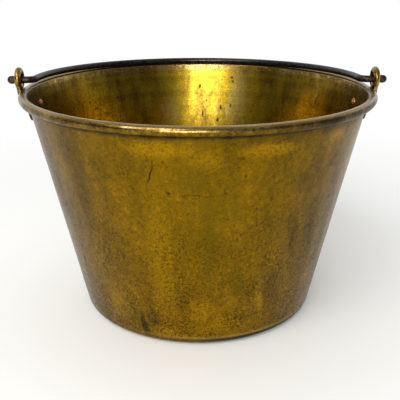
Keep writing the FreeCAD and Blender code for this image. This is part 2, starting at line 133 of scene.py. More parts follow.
# Spun sheet brass, drawn over a former and left to tarnish: golden where hands rub it and in some patches of painted
# reflection, olive-brown where it is dull, peppered with small corrosion pits, with soft clouds that run down the
# wall.
# Painted shade darkens the groove under the roll, the roll's underside and the foot corner. Old lacquer and
# grease give it a thin coat, which turns it pale and grey where it is seen at a slant
brassLook = {
    "outer": [(0.33, "#503C08"), (0.44, "#6C5304"), (0.55, "#826104"), (0.69, "#A87E06")],
    "inner": [(0.38, "#5E4810"), (0.60, "#A0841E")],
    "rim": [(0.38, "#43330A"), (0.48, "#7E600C"), (0.63, "#B48C20")],
    "crest": [(0.38, "#4C3C18"), (0.48, "#7C6226"), (0.63, "#C6AC78")],
    # The darkest colour on the next line is painted shade, under the roll and at the foot
    "rubbedAndSheen": "#A87E06", "insideRubbedAndSheen": "#A07614", "pit": "#362505", "paintedShade": "#1A1308",
    # The pale colour on this line is painted reflection
    "stain": "#2E2209", "green": "#5E5008", "paleSheen": "#B49C5C",
    "surface": {"Metallic": 1.0, "Coat Weight": 0.28, "Coat IOR": 1.22, "Coat Roughness": 0.12,
                "Specular Tint": linear("#EBEEEF")},
    "rougher": {"inside": -0.1, "handled": -0.2, "stain": 0.2, "pitted": 0.2, "groove": 0.3},
    "insideShift": (0.31, 0.17, 0.43), "hang": 0.22, "roundMm": 130, "waverPerM": 70, "waverMm": 7,
    "markFade": (1.2, 0.3), "ringMm": 9, "ringShare": 0.3, "speckMm": 1.5, "speckMore": 0.16,
    "insideCrisp": 0.55, "contrast": 2.6, "latheMm": 0.9, "latheRelief": 0.25, "pitRelief": -1.5, "reliefMm": 0.15,
}
# Each layer of tone: size in mm, detail, roughness and share of the whole
brassLayers = {
    "clouds": (42, 3, 0.5, 0.28), "streaks": (12, 4, 0.55, 0.24), "mottle": (4.5, 2, 0.5, 0.26),
    "grain": (1.7, 2, 0.6, 0.22),
}
# Pits lie in random cells, and the share "none" of the cells has no pit
brassPits = {"cellMm": 6.5, "none": 0.6, "widest": 0.15, "edge": (-0.03, 0.08), "depth": 0.6}
# Each band: where it starts and ends in mm of height or of x, and its level at the start and at the end
brassBands = {
    "standing": (4, 30, 0, 0.5), "upper": (191, 192.7, 0, 1), "foot": (20, 140, 1, 0.1),
    # The next three lines place painted shade in and below the groove and on the roll's underside
    "grooveTop": (190.2, 188.2, 0, 1), "grooveFoot": (182.5, 187.4, 0, 1),
    "shadeBelowRoll": (176.5, 186.5, 0, 1), "shadeBelowRollSide": (-30, 70, 0.05, 0.5),
    "underside": (195.1, 193.1, 0, 1), "undersideShadeSide": (10, 90, 0.3, 0.95),
    # This line places a painted contact shadow at the foot and a painted highlight just above it
    "contactShade": (7.4, 4.7, 0, 1), "contactShadeSide": (-50, 30, 0.3, 0.95), "cornerEdge": (9.2, 8, 0, 0.4),
}
# Each span: two values of a noise or a mask, and the levels that they get
brassSpans = {
    "wornAndSheen": (0.35, 0.6, 0.3, 1), "dull": (0.65, 0.38, 0.25, 1), "kept": (0, 1, 1, 0.3),
    "fine": (0.61, 0.77, 0, 0.76), "spared": (0, 1, 1, 0.3), "uneven": (0.35, 0.6, 1, 0.75),
    "rough": (0.36, 0.64, 0.44, 0.32), "proud": (0, 1, 0.35, 0.12),
}
# Each mark: degrees round from the front, height, half width and half height in mm, lean in degrees, depth
wallMarks = {
    "stain": [
        (-15, 157, 0.8, 11, -20, 0.9), (-0.5, 141.2, 28, 0.6, 0, 0.45), (-25, 17, 5, 16, 5, 0.75),
        (-17, 13, 1.0, 6, -50, 0.7), (31, 38, 9, 42, 12, 0.3), (-20, 26, 8, 9, 0, 0.35),
        (-61, 147, 20, 62, 0, 0.34), (-43, 148, 15, 54, 0, 0.33), (41, 130, 13, 75, 8, 0.33),
        (55, 112, 11, 62, 8, 0.25), (45, 84, 14, 48, 0, 0.34), (-55, 62.7, 2.5, 5, 0, 0.7),
        (35.3, 98, 8, 34, 17, 0.4), (36.3, 152, 6, 22, -20, 0.35), (44, 148, 5, 29, -44, 0.3),
        (-44, 148, 6, 22, -29, 0.35), (13.1, 156, 1.9, 1.9, 0, 0.6), (11.4, 170, 3.2, 1.7, 0, 0.55),
        (-10, 143, 1.4, 1.4, 0, 0.7), (8, 143.3, 1.8, 1.6, 0, 0.5)],
    # Rubbed marks: partly real rubbing; the band under the roll and the long upright band are painted reflection
    "rubbedAndSheen": [
        (-13, 176, 24, 8, 0, 0.9), (20, 174, 24, 7, 0, 0.8), (1, 168, 16, 8, 0, 0.45), (25, 42, 5, 22, 12, 0.7),
        (47, 177, 10, 7, 0, 0.7), (-14, 80, 15, 82, 0, 0.5), (-4, 6, 30, 6, 0, 0.7), (-15, 11, 18, 10, 0, 0.9),
        (-36, 31, 16, 22, 0, 0.55), (8, 18, 36, 12, 0, 0.4), (0, 36, 14, 16, 0, 0.7)],
    "green": [
        (-3, 157, 16, 15, 0, 0.5), (5, 128, 22, 13, 0, 0.42), (14, 62, 9, 20, 10, 0.5), (3, 95, 10, 40, 0, 0.4)],
    "peppered": [
        (15, 24, 20, 18, 0, 0.9), (6, 9, 16, 8, 0, 0.9), (30, 62, 16, 48, 15, 0.7), (-40, 70, 14, 40, -15, 0.6),
        (44, 30, 20, 26, 0, 1.0)],
    "paleSheen": [],
}
insideMarks = {
    "stain": [
        (-152.5, 164, 6, 17, 0, 0.5), (139, 172, 8, 13, 0, 0.55), (178.2, 170, 1.2, 2.6, 12, 1.0),
        (169.1, 148.8, 1.5, 2.7, -8, 1.0), (163.9, 150.4, 1.8, 2.2, 0, 0.9), (169.7, 135.5, 1.4, 2.4, 10, 1.0),
        (176.9, 142, 1.3, 5, -15, 0.9), (175.1, 156, 1.2, 1.6, 0, 0.8), (164.1, 179.8, 1.8, 1.8, 0, 0.9),
        (163.9, 175.7, 1.6, 2.2, 0, 0.9), (156.6, 151.7, 1.3, 3, 0, 0.6), (-129, 164.3, 1.8, 1.5, 0, 0.7),
        (-143.8, 163.4, 1.8, 2, 0, 0.6), (-132, 156.7, 4, 1.6, 0, 0.5), (-137.8, 149.5, 5, 3, 0, 0.55),
        (121.5, 169, 1.6, 10, 8, 0.55), (-118, 184, 19, 6, 0, 0.35), (126, 183, 17, 7, 0, 0.32)],
    # Some rubbed marks inside are painted light, brightening places that the surroundings leave dark
    "rubbedAndSheen": [
        (127, 165, 8, 18, 0, 0.55), (-124, 167, 19, 26, 0, 0.65), (-164, 142, 11, 26, 0, 0.9),
        (-112, 167, 30, 10, 0, 0.85)],
    "green": [],
    "peppered": [],
    # Pale marks inside are painted reflection and painted light
    "paleSheen": [
        (161, 158, 12, 40, 0, 0.4), (165.5, 144, 3.5, 12, 0, 0.4), (122.3, 181.8, 2, 3, 0, 0.5),
        (-168, 143, 11, 18, 0, 0.4)],
}


def addMarks(tree, spot, marks):
    # Where two marks meet, the stronger shows
    strongest = 0.0
    for turn, height, wide, tall, lean, depth in marks:
        near = addNode(tree, "ShaderNodeMapping", {
            "Vector": spot, "Location": (math.radians(turn) * brassLook["roundMm"] * mm, height * mm, 0),
            "Rotation": (0, 0, math.radians(lean)), "Scale": (wide * mm, tall * mm, 1)},
            vector_type="TEXTURE").outputs[0]
        away = addVector(tree, "LENGTH", near)
        level = addRange(tree, away, (*brassLook["markFade"], 0, depth), soft=True)
        strongest = addMath(tree, "MAXIMUM", level, strongest)
    return strongest


def addPits(tree, place):
    pits = brassPits
    cells = addNode(tree, "ShaderNodeTexVoronoi", {"Vector": place, "Scale": 1000 / pits["cellMm"]})
    chance = addNode(tree, "ShaderNodeSeparateColor", {0: cells.outputs["Color"]}).outputs[0]
    reach = addRange(tree, chance, (pits["none"], 1, 0, pits["widest"]))
    wide = addMath(tree, "SUBTRACT", reach, cells.outputs["Distance"])
    level = addRange(tree, wide, (*pits["edge"], 0, 1))
    return addMath(tree, "MULTIPLY", level, pits["depth"])


def addGroove(tree, x, height, roll, outside, streaks):
    # Painted shade: the groove under the roll is darkened
    bands = brassBands
    above = addBand(tree, height, bands["grooveTop"], soft=True)
    below = addBand(tree, height, bands["grooveFoot"], soft=True)
    groove = addMath(tree, "MULTIPLY", above, below)
    # A paler band of painted shadow runs further down the wall below the roll, more on the right
    shadeBelowRoll = addBand(tree, height, bands["shadeBelowRoll"], soft=True)
    shadeBelowRoll = addMath(tree, "MULTIPLY", shadeBelowRoll, addBand(tree, x, bands["shadeBelowRollSide"]))
    shadeBelowRoll = addMath(tree, "MULTIPLY", shadeBelowRoll, above)
    groove = addMath(tree, "MAXIMUM", groove, shadeBelowRoll)
    # Painted shade also darkens the underside of the roll, more on the right
    underside = addBand(tree, height, bands["underside"], soft=True)
    underside = addMath(tree, "MULTIPLY", underside, addBand(tree, x, bands["undersideShadeSide"]))
    underside = addMath(tree, "MULTIPLY", underside, roll)
    groove = addMath(tree, "MAXIMUM", groove, underside)
    groove = addMath(tree, "MULTIPLY", groove, outside)
    return addMath(tree, "MULTIPLY", groove, addRange(tree, streaks, brassSpans["uneven"]))


def makeShellBrass():
    look, bands, spans = brassLook, brassBands, brassSpans
    material, tree, shader, place = newMaterial("spunBrassTarnished", look["surface"])
    inside = addNode(tree, "ShaderNodeAttribute", attribute_name="inside").outputs["Fac"]
    roll = addNode(tree, "ShaderNodeAttribute", attribute_name="roll").outputs["Fac"]
    outside = addMath(tree, "SUBTRACT", 1.0, inside)
    # The two faces of the sheet take their tones from different places in the noise
    aside = addVector(tree, "MULTIPLY", inside, look["insideShift"])
    moved = addVector(tree, "ADD", place, aside)
    hanging = addNode(tree, "ShaderNodeMapping", {"Vector": moved, "Scale": (1, 1, look["hang"])}).outputs[0]
    x, y, height = addNode(tree, "ShaderNodeSeparateXYZ", {0: place}).outputs

    layers, tone = {}, 0.0
    for name, (sizeMm, detail, roughness, share) in brassLayers.items():
        layers[name] = addNoise(tree, hanging if name == "streaks" else moved, sizeMm, detail, roughness)
        tone = addMath(tree, "MULTIPLY_ADD", layers[name], share, tone)
    streaks, grain = layers["streaks"], layers["grain"]
    outer = addRamp(tree, tone, look["outer"])

    # The bottom shows the rings of the spinning, faintly
    standing = addBand(tree, height, bands["standing"])
    flat = addNode(tree, "ShaderNodeCombineXYZ", {0: x, 1: y}).outputs[0]
    course = addMath(tree, "ADD", addVector(tree, "LENGTH", flat), height)
    bottom = mixLevels(tree, look["ringShare"], tone, addRings(tree, course, look["ringMm"], 3))
    inner = addRamp(tree, mixLevels(tree, standing, bottom, streaks), look["inner"])

    # The top of the roll and its inner bend are paler than its side: partly worn pale metal, partly a painted
    # highlight laid where the lamp's highlight falls
    rim = addRamp(tree, tone, look["rim"])
    crest = addRamp(tree, tone, look["crest"])
    upper = addMath(tree, "MAXIMUM", addBand(tree, height, bands["upper"], soft=True), inside)
    rolled = mixColours(tree, upper, rim, crest)
    skin = mixColours(tree, inside, outer, inner)

    # The larger marks have their own places on the wall, with edges that a slow noise makes uneven
    ahead = addMath(tree, "MULTIPLY", y, -1.0)
    turn = addMath(tree, "ARCTAN2", x, ahead)
    along = addMath(tree, "MULTIPLY", turn, look["roundMm"] * mm)
    spot = addNode(tree, "ShaderNodeCombineXYZ", {0: along, 1: height}).outputs[0]
    waver = addNode(tree, "ShaderNodeTexNoise", {
        "Vector": moved, "Scale": look["waverPerM"], "Detail": 2}).outputs["Color"]
    waver = addVector(tree, "SUBTRACT", waver, (0.5, 0.5, 0.5))
    reach = look["waverMm"] * mm
    spot = addVector(tree, "MULTIPLY_ADD", waver, (reach, reach, 0), spot)
    level = {}
    for kind in wallMarks:
        level[kind] = mixLevels(
            tree, inside, addMarks(tree, spot, wallMarks[kind]), addMarks(tree, spot, insideMarks[kind]))
    # Rubbed marks give golden metal, partly real rubbing and partly painted reflection
    golden = mixColours(tree, inside, linear(look["rubbedAndSheen"]), linear(look["insideRubbedAndSheen"]))
    wornAndSheen = addMath(tree, "MULTIPLY", addRange(tree, grain, spans["wornAndSheen"]), level["rubbedAndSheen"])
    skin = mixColours(tree, wornAndSheen, skin, golden)
    # Green and stain marks are tint and dirt; the pale marks are painted reflection
    for kind in ("green", "paleSheen", "stain"):
        skin = mixColours(tree, level[kind], skin, linear(look[kind]))
    skin = mixColours(tree, roll, skin, rolled)

    # Corrosion peppers the wall, more towards the foot and where it is dull, less under the rubbed marks and their
    # painted reflections
    foot = addBand(tree, height, bands["foot"])
    often = addMath(tree, "MULTIPLY", foot, addRange(tree, layers["clouds"], spans["dull"]))
    often = addMath(tree, "MULTIPLY", often, addRange(tree, level["rubbedAndSheen"], spans["kept"]))
    often = addMath(tree, "MAXIMUM", often, level["peppered"])
    # Between the pits the metal is grained, light and dark
    crisp = addMath(tree, "MULTIPLY", inside, look["insideCrisp"])
    crisp = addMath(tree, "MAXIMUM", often, crisp)
    lit = addMath(tree, "MULTIPLY", addMath(tree, "SUBTRACT", grain, 0.5), crisp)
    lit = addMath(tree, "MULTIPLY_ADD", lit, look["contrast"], 1.0)
    skin = addScaled(tree, skin, lit)
    eaten = addNoise(tree, moved, look["speckMm"], 1.5, 0.6)
    eaten = addMath(tree, "MULTIPLY_ADD", often, look["speckMore"], eaten)
    fine = addRange(tree, eaten, spans["fine"])
    coarse = addPits(tree, moved)
    pitted = addMath(tree, "MAXIMUM", fine, coarse)
    polished = addMath(tree, "MAXIMUM", inside, roll)
    pitted = addMath(tree, "MULTIPLY", pitted, addRange(tree, polished, spans["spared"]))
    skin = mixColours(tree, pitted, skin, linear(look["pit"]))

    # Painted shade under the roll
    groove = addGroove(tree, x, height, roll, outside, streaks)
    skin = mixColours(tree, groove, skin, linear(look["paintedShade"]))
    # The lower corner is painted black as painted contact shadow, more on the right, with a painted highlight just
    # above
    sided = addMath(tree, "MULTIPLY", addBand(tree, x, bands["contactShadeSide"]), outside)
    edge = addMath(tree, "MULTIPLY", addBand(tree, height, bands["cornerEdge"], soft=True), sided)
    skin = mixColours(tree, edge, skin, linear(look["paleSheen"]))
    contactShade = addMath(tree, "MULTIPLY", addBand(tree, height, bands["contactShade"], soft=True), sided)
    skin = mixColours(tree, contactShade, skin, linear(look["paintedShade"]))
    tree.links.new(skin, shader.inputs["Base Color"])

    rough = addRange(tree, tone, spans["rough"])
    masks = {"inside": inside, "handled": addMath(tree, "MULTIPLY", roll, outside), "stain": level["stain"],
             "pitted": pitted, "groove": groove}
    for name, mask in masks.items():
        rough = addMath(tree, "MULTIPLY_ADD", mask, look["rougher"][name], rough)
    tree.links.new(rough, shader.inputs["Roughness"])

    # Fine rings left by the spinning tool, drawn coarser than life so that they show
    rings = addRings(tree, course, look["latheMm"], 2)
    relief = addMath(tree, "MULTIPLY_ADD", rings, look["latheRelief"], grain)
    relief = addMath(tree, "MULTIPLY_ADD", coarse, look["pitRelief"], relief)
    addBump(tree, shader, relief, addRange(tree, inside, spans["proud"]), look["reliefMm"])
    return material


# One spun sheet: flat base, rounded corner, tapered wall, rim curled outward round its wire. The wave of
# the wall dies out towards its foot and its top, over the heights that are given as bands
shellSizes = {
    "rimRadius": 152.5, "rimHeight": 195.5, "baseRadius": 105.4, "cornerRadius": 7.0, "gauge": 1.0,
    "rollRadius": 3.9, "curlGap": 0.3, "segments": 300, "mergeMm": 0.002,
    "waveDepth": 0.35, "waveMm": 55, "waveRound": 130, "seed": 7,
    "waveFoot": (8, 30, 0, 1), "waveTop": (168, 140, 0, 1),
    "baseSteps": 8, "cornerOutSteps": 12, "cornerInSteps": 10, "wallSteps": 44,
    "curlInSteps": 20, "curlOutSteps": 44, "insideFrom": 26, "insideOver": 18, "rollEnd": 0.25,
}


def arcPoints(centre, radius, first, last, steps):
    angles = [first + (last - first) * i / steps for i in range(steps + 1)]
    return [(centre[0] + radius * math.cos(a), centre[1] + radius * math.sin(a)) for a in angles]


def linePoints(first, last, steps):
    return [tuple(a + (b - a) * i / steps for a, b in zip(first, last)) for i in range(1, steps)]


def shellProfile():
    size = shellSizes
    gauge, roll = size["gauge"], size["rollRadius"]
    rollCentre = (size["rimRadius"] - roll, size["rimHeight"] - roll)
    corner = (size["baseRadius"] - size["cornerRadius"], size["cornerRadius"])
    run, rise = rollCentre[0] - corner[0], rollCentre[1] - corner[1]
    lean = math.asin((size["cornerRadius"] + roll - gauge) / math.hypot(run, rise))
    slope = math.pi / 2 - math.atan2(rise, run) - lean
    curlEnd = math.acos((roll - gauge - size["curlGap"]) / roll) - slope - math.pi
    curlStart = math.pi - slope
    down = -math.pi / 2

    cornerOut = arcPoints(corner, size["cornerRadius"], down, -slope, size["cornerOutSteps"])
    curlIn = arcPoints(rollCentre, roll - gauge, curlStart, curlEnd, size["curlInSteps"])
    curlOut = arcPoints(rollCentre, roll, curlEnd, curlStart, size["curlOutSteps"])
    cornerIn = arcPoints(corner, size["cornerRadius"] - gauge, -slope, down, size["cornerInSteps"])
    outer = [(0, 0)] + linePoints((0, 0), cornerOut[0], size["baseSteps"]) + cornerOut
    outer += linePoints(cornerOut[-1], curlIn[0], size["wallSteps"]) + curlIn
    inner = linePoints(curlOut[-1], cornerIn[0], size["wallSteps"]) + cornerIn
    inner += linePoints(cornerIn[-1], (0, gauge), size["baseSteps"]) + [(0, gauge)]
    points = outer + curlOut + inner
    # 1 on the roll and a little way down the inner bend, 0 on the wall
    rollMask = [0.0] * (len(outer) - len(curlIn)) + [1.0] * (len(curlIn) + len(curlOut))
    rollMask += [size["rollEnd"]] + [0.0] * (len(inner) - 1)
    bend = [(i - size["insideFrom"]) / size["insideOver"] for i in range(len(curlOut))]
    insideMask = [0.0] * len(outer) + [max(0.0, min(1.0, b)) for b in bend] + [1.0] * len(inner)
    print("shell slope %.2f degrees, %d profile points" % (math.degrees(slope), len(points)))
    return points, rollMask, insideMask, slope


def makeTree(name, inputs):
    tree = bpy.data.node_groups.new(name, "GeometryNodeTree")
    tree.interface.new_socket("Geometry", in_out="OUTPUT", socket_type="NodeSocketGeometry")
    sockets = {}
    for socket, kind in {"Geometry": "Geometry", **inputs, "Material": "Material"}.items():
        sockets[socket] = tree.interface.new_socket(socket, in_out="INPUT", socket_type="NodeSocket" + kind)
    return tree, sockets, addNode(tree, "NodeGroupInput").outputs


def finishTree(tree, geometry, material):
    real = addNode(tree, "GeometryNodeRealizeInstances", {"Geometry": geometry}).outputs[0]
    smooth = addNode(tree, "GeometryNodeSetShadeSmooth", {"Geometry": real}).outputs[0]
    painted = addNode(tree, "GeometryNodeSetMaterial", {"Geometry": smooth, "Material": material}).outputs[0]
    addNode(tree, "NodeGroupOutput", {0: painted})


def addNamed(tree, name, kind):
    return addNode(tree, "GeometryNodeInputNamedAttribute", {"Name": name}, data_type=kind).outputs[0]


def makeTurningTree():
    # Turns a drawn half section round Z; a thin sheet also gets the slow wave of handwork
    size = shellSizes
    tree, sockets, given = makeTree("turned", {
        "Profile Points": "Int", "Segments": "Int", "Wave Depth": "Float", "Wave Size": "Float", "Seed": "Float"})

    around = addMath(tree, "ADD", given["Segments"], 1.0)
    grid = addNode(tree, "GeometryNodeMeshGrid", {"Vertices X": around, "Vertices Y": given["Profile Points"]})
    index = addNode(tree, "GeometryNodeInputIndex").outputs[0]
    column = addMath(tree, "FLOOR", addMath(tree, "DIVIDE", index, given["Profile Points"]))
    row = addMath(tree, "MODULO", index, given["Profile Points"])
    turn = addMath(tree, "DIVIDE", column, given["Segments"])
    angle = addMath(tree, "MULTIPLY", turn, 2 * math.pi)
    position = addNode(tree, "GeometryNodeInputPosition").outputs[0]
    drawn = addNode(tree, "GeometryNodeSampleIndex", {
        "Geometry": given["Geometry"], "Value": position, "Index": row}, data_type="FLOAT_VECTOR").outputs[0]
    drawnParts = addNode(tree, "ShaderNodeSeparateXYZ", {0: drawn}).outputs
    radius, height = drawnParts[0], drawnParts[2]

    # The wave is the same on both faces of the sheet
    cosine, sine = addMath(tree, "COSINE", angle), addMath(tree, "SINE", angle)
    ring = addNode(tree, "ShaderNodeCombineXYZ", {0: cosine, 1: sine}).outputs[0]
    rise = addNode(tree, "ShaderNodeCombineXYZ", {2: height}).outputs[0]
    spot = addVector(tree, "ADD", addScaled(tree, ring, size["waveRound"] * mm), rise)
    fineness = addMath(tree, "DIVIDE", 1.0, given["Wave Size"])
    wave = addNode(tree, "ShaderNodeTexNoise", {
        "Vector": spot, "W": given["Seed"], "Scale": fineness, "Detail": 1.5}, noise_dimensions="4D").outputs["Fac"]
    low = addBand(tree, height, size["waveFoot"], soft=True)
    high = addBand(tree, height, size["waveTop"], soft=True)
    free = addMath(tree, "MULTIPLY", low, high)
    swing = addMath(tree, "MULTIPLY", addRange(tree, wave, (0, 1, -1, 1)), free)
    radius = addMath(tree, "MULTIPLY_ADD", swing, given["Wave Depth"], radius)
    placed = addVector(tree, "ADD", addScaled(tree, ring, radius), rise)
    geometry = addNode(tree, "GeometryNodeSetPosition", {
        "Geometry": grid.outputs["Mesh"], "Position": placed}).outputs[0]

    for name in ("roll", "inside"):
        mask = addNode(tree, "GeometryNodeSampleIndex", {
            "Geometry": given["Geometry"], "Value": addNamed(tree, name, "FLOAT"), "Index": row},
            data_type="FLOAT").outputs[0]
        geometry = addNode(tree, "GeometryNodeStoreNamedAttribute", {
            "Geometry": geometry, "Name": name, "Value": mask}, data_type="FLOAT", domain="POINT").outputs[0]
    closed = addNode(tree, "GeometryNodeMergeByDistance", {
        "Geometry": geometry, "Distance": size["mergeMm"] * mm}).outputs[0]
    finishTree(tree, closed, given["Material"])
    return tree, sockets


def newPiece(name, points, edges, masks):
    mesh = bpy.data.meshes.new(name)
    mesh.from_pydata(points, edges, [])
    for mask, levels in masks.items():
        mesh.attributes.new(mask, "FLOAT", "POINT").data.foreach_set("value", levels)
    piece = bpy.data.objects.new(name, mesh)
    scene.collection.objects.link(piece)
    return piece


def chainEdges(points):
    return [(i, i + 1) for i in range(len(points) - 1)]


def turnProfile(name, profile, masks, values):
    piece = newPiece(name, [(r * mm, 0, z * mm) for r, z in profile], chainEdges(profile), masks)
    settle(piece, *turningTree, {"Profile Points": len(profile), **values})
    return piece


def settle(piece, tree, sockets, values):
    modifier = piece.modifiers.new("shape", "NODES")
    modifier.node_group = tree
    for name, value in values.items():
        modifier[sockets[name].identifier] = value
    faceOutwards(applyModifiers(piece))


def applyModifiers(piece):
    made = bpy.data.meshes.new_from_object(piece.evaluated_get(bpy.context.evaluated_depsgraph_get()))
    piece.modifiers.clear()
    piece.data = made
    return made


def faceOutwards(mesh):
    work = bmesh.new()
    work.from_mesh(mesh)
    bmesh.ops.recalc_face_normals(work, faces=work.faces)
    work.to_mesh(mesh)
    work.free()


turningTree = makeTurningTree()
shellPoints, rollMask, insideMask, wallSlope = shellProfile()
shell = turnProfile("brassShell", shellPoints, {"roll": rollMask, "inside": insideMask}, {
    "Segments": shellSizes["segments"], "Wave Depth": shellSizes["waveDepth"] * mm,
    "Wave Size": shellSizes["waveMm"] * mm, "Seed": float(shellSizes["seed"]), "Material": makeShellBrass()})
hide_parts("bucket_shell")
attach(shell, "bucket")
print("shell:", len(shell.data.polygons), "faces")


# Copper rivets, hammered over: pink-brown and a little dented
rivetSizes = {
    "height": 178.5, "spacing": 28.0, "wallRadius": 142.79, "shank": 2.0, "gauge": 1.06, "plate": 3.12,
    "headRadius": 3.5, "headHeight": 1.8, "headSteps": 10, "tailRadius": 3.1, "tailHeight": 1.3, "tailSteps": 8,
    "segments": 40,
}
rivetLook = {
    "colours": [(0.34, "#74462A"), (0.50, "#B87E52"), (0.66, "#DDB084")], "spotMm": 2.2, "dents": 0.4, "dentMm": 0.2,
    "surface": {"Metallic": 1.0, "Roughness": 0.55},
}


def makeCopper():
    look = rivetLook
    material, tree, shader, place = newMaterial("copperHammered", look["surface"])
    spots = addNoise(tree, place, look["spotMm"], 4)
    tree.links.new(addRamp(tree, spots, look["colours"]), shader.inputs["Base Color"])
    addBump(tree, shader, spots, look["dents"], look["dentMm"])
    return material


def domePoints(radius, seat, rise, steps):
    ball = (radius ** 2 + rise ** 2) / (2 * rise)
    middle = seat + rise - ball
    edge = math.atan2(seat - middle, radius)
    crown = math.copysign(math.pi / 2, rise)
    return arcPoints((0, middle), abs(ball), edge, crown, steps)


def makeRivets(material):
    size = rivetSizes
    head = domePoints(size["headRadius"], size["gauge"], size["headHeight"], size["headSteps"])
    tail = domePoints(size["tailRadius"], -size["plate"], -size["tailHeight"], size["tailSteps"])
    outline = [(0, tail[-1][1])] + tail[-2::-1] + [(size["shank"], -size["plate"]), (size["shank"], size["gauge"])]
    outline += head[:-1] + [(0, head[-1][1])]
    pattern = turnProfile("rivetPattern", outline, {}, {"Segments": size["segments"], "Material": material})

    # Each point carries the direction of its rivet, square to the leaning wall
    side = math.asin(size["spacing"] / 2 / size["wallRadius"])
    places, ways = [], []
    for azimuth in (-side, side, math.pi - side, math.pi + side):
        out = Vector((math.cos(azimuth), math.sin(azimuth), 0))
        places.append(out * size["wallRadius"] * mm + Vector((0, 0, size["height"] * mm)))
        ways.append(Vector((0, 0, math.sin(wallSlope))) - out * math.cos(wallSlope))
    piece = newPiece("earRivets", places, [], {})
    carried = piece.data.attributes.new("way", "FLOAT_VECTOR", "POINT")
    carried.data.foreach_set("vector", [c for w in ways for c in w])

    tree, sockets, given = makeTree("rivetRows", {"Rivet": "Object"})
    points = addNode(tree, "GeometryNodeMeshToPoints", {"Mesh": given["Geometry"]}).outputs[0]
    rivet = addNode(tree, "GeometryNodeObjectInfo", {"Object": given["Rivet"]}).outputs["Geometry"]
    turned = addNode(tree, "FunctionNodeAlignRotationToVector", {
        "Vector": addNamed(tree, "way", "FLOAT_VECTOR")}, axis="Z").outputs[0]
    rows = addNode(tree, "GeometryNodeInstanceOnPoints", {
        "Points": points, "Instance": rivet, "Rotation": turned}).outputs[0]
    finishTree(tree, rows, given["Material"])
    settle(piece, tree, sockets, {"Rivet": pattern, "Material": material})
    bpy.data.objects.remove(pattern)
    return piece


rivets = makeRivets(makeCopper())
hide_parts("left_front_rivet", "left_rear_rivet", "right_front_rivet", "right_rear_rivet")
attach(rivets, "bucket")
print("rivets:", len(rivets.data.polygons), "faces")


# Cast brass ears, rubbed by the bail: brighter and yellower than the sheet, brown in the hollows
earLook = {
    "colours": [(0.34, "#3A2E0E"), (0.50, "#7E6624"), (0.66, "#C6A658")], "plate": "#2C2210",
    "shaded": (194, 187, 0, 0.85), "spotMm": 5, "relief": 0.35, "reliefMm": 0.3,
    "surface": {"Metallic": 1.0, "Roughness": 0.3, "Coat Weight": 0.2, "Coat Roughness": 0.3},
    "weldMm": 0.01, "voxelMm": 0.45, "smoothing": 8, "smoothFactor": 0.5,
}


def makeEarBrass():
    look = earLook
    material, tree, shader, place = newMaterial("castBrassWorn", look["surface"])
    spots = addNoise(tree, place, look["spotMm"], 5, 0.6)
    colour = addRamp(tree, spots, look["colours"])
    # The plate sits in the shade of the roll, and its dark colour is painted shade
    height = addNode(tree, "ShaderNodeSeparateXYZ", {0: place}).outputs[2]
    skin = mixColours(tree, addBand(tree, height, look["shaded"]), colour, linear(look["plate"]))
    tree.links.new(skin, shader.inputs["Base Color"])
    addBump(tree, shader, spots, look["relief"], look["reliefMm"])
    return material


def castEar(node, material):
    # The plain ear with its corners run together, as they come out of the mould
    look = earLook
    piece = newPiece(node + "Cast", [], [], {})
    work = bmesh.new()
    work.from_mesh(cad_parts[node].data)
    bmesh.ops.remove_doubles(work, verts=work.verts, dist=look["weldMm"] * mm)
    work.to_mesh(piece.data)
    work.free()
    remesh = piece.modifiers.new("run together", "REMESH")
    remesh.mode = "VOXEL"
    remesh.voxel_size = look["voxelMm"] * mm
    soften = piece.modifiers.new("soften", "SMOOTH")
    soften.factor = look["smoothFactor"]
    soften.iterations = look["smoothing"]
    made = applyModifiers(piece)
    made.materials.clear()
    made.materials.append(material)
    made.polygons.foreach_set("use_smooth", [True] * len(made.polygons))
    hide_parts(node)
    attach(piece, "bucket")
    print(piece.name, len(made.polygons), "faces")


earBrass = makeEarBrass()
for node in ("left_ear", "right_ear"):
    castEar(node, earBrass)


# Forged iron bail: nearly black with a worn sheen along the top, rusty towards the eyes
bailSizes = {
    "hinge": 201.25, "tilt": 1.6449, "rod": 3.0, "radius": 142.5, "apex": 144.03, "bend": 6.5, "stubStart": 157.9,
    "flare": 2.0, "stub": 3.5, "stubLength": 7.0, "tip": 0.05, "hammered": 0.03, "blowsPerM": 55, "sides": 32,
    "domeSteps": 7, "pinSteps": 6, "bendSteps": 12, "ringSteps": 60,
}
bailLook = {
    "colours": [(0.36, "#100F0E"), (0.62, "#383532")], "rust": "#40281D", "rusting": (105, 160, 0, 0.8),
    "rough": (0, 0.5, 0.25, 0.5), "pitMm": 2.4, "pits": 0.4, "pitDepthMm": 0.2, "surface": {"Metallic": 0.7},
}


def makeIron():
    look = bailLook
    material, tree, shader, place = newMaterial("forgedIronDark", look["surface"])
    spots = addNoise(tree, place, look["pitMm"], 4, 0.6)
    colour = addRamp(tree, spots, look["colours"])
    across = addNode(tree, "ShaderNodeSeparateXYZ", {0: place}).outputs[0]
    ends = addBand(tree, addMath(tree, "ABSOLUTE", across), look["rusting"])
    rusty = addMath(tree, "MULTIPLY", ends, spots)
    tree.links.new(mixColours(tree, rusty, colour, linear(look["rust"])), shader.inputs["Base Color"])
    tree.links.new(addRange(tree, rusty, look["rough"]), shader.inputs["Roughness"])
    addBump(tree, shader, spots, look["pits"], look["pitDepthMm"])
    return material


